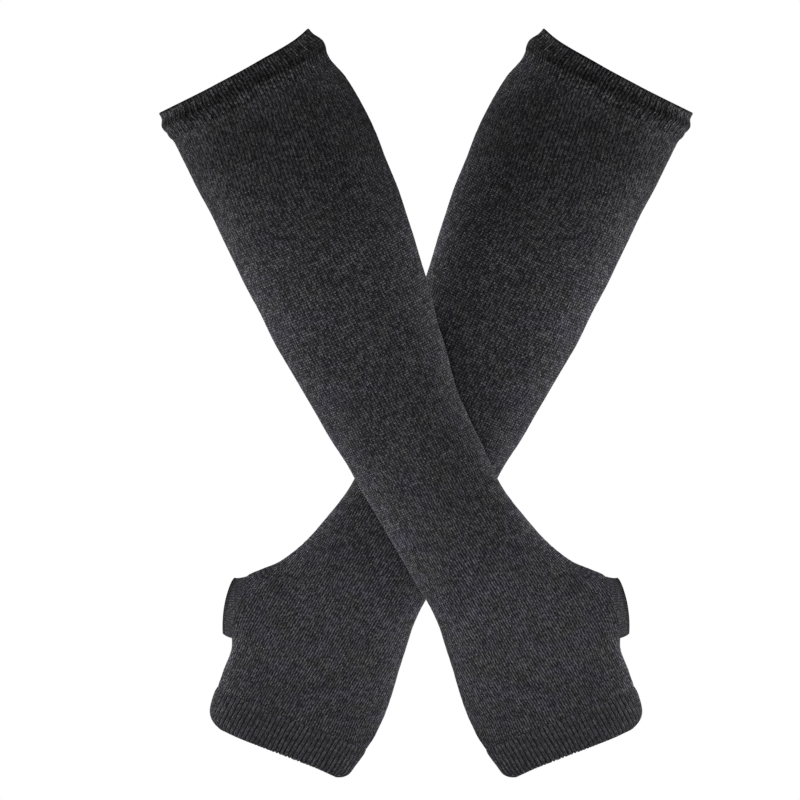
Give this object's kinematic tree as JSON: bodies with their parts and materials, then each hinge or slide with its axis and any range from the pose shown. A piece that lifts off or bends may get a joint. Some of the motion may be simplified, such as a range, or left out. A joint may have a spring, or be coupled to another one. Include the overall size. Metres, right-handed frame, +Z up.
{
  "type": "pair of knitted arm warmers",
  "caption": "Pair of long fingerless knitted arm warmers, filled out and crossed in an X, each with a rolled top band, ribbed finger cuff and short open thumb collar.",
  "frame": {"origin": "midway between the two forearms, where the warmers cross and the wearer's arms hold them", "axes": "+Z up, towards the elbows; +Y away from the viewer, from the front warmer to the rear one; +X to the viewer's right"},
  "size_m": [0.2656, 0.124, 0.3744],
  "materials": {
    "sleeve_knit": "fine plain knit in charcoal heather yarn, matt, faintly fuzzy",
    "band_knit": "close knit with fine upright wales, charcoal heather, matt",
    "cuff_knit": "fine one-by-one rib in charcoal heather yarn, matt",
    "collar_knit": "fine plain knit with a bound edge, charcoal heather, matt"
  },
  "bodies": {
    "root": {"front_sleeve": "sleeve_knit", "front_hand": "sleeve_knit", "front_top_band": "band_knit", "front_finger_cuff": "cuff_knit", "front_thumb_collar": "collar_knit", "rear_sleeve": "sleeve_knit", "rear_hand": "sleeve_knit", "rear_top_band": "band_knit", "rear_finger_cuff": "cuff_knit", "rear_thumb_collar": "collar_knit"}
  },
  "joints": []
}
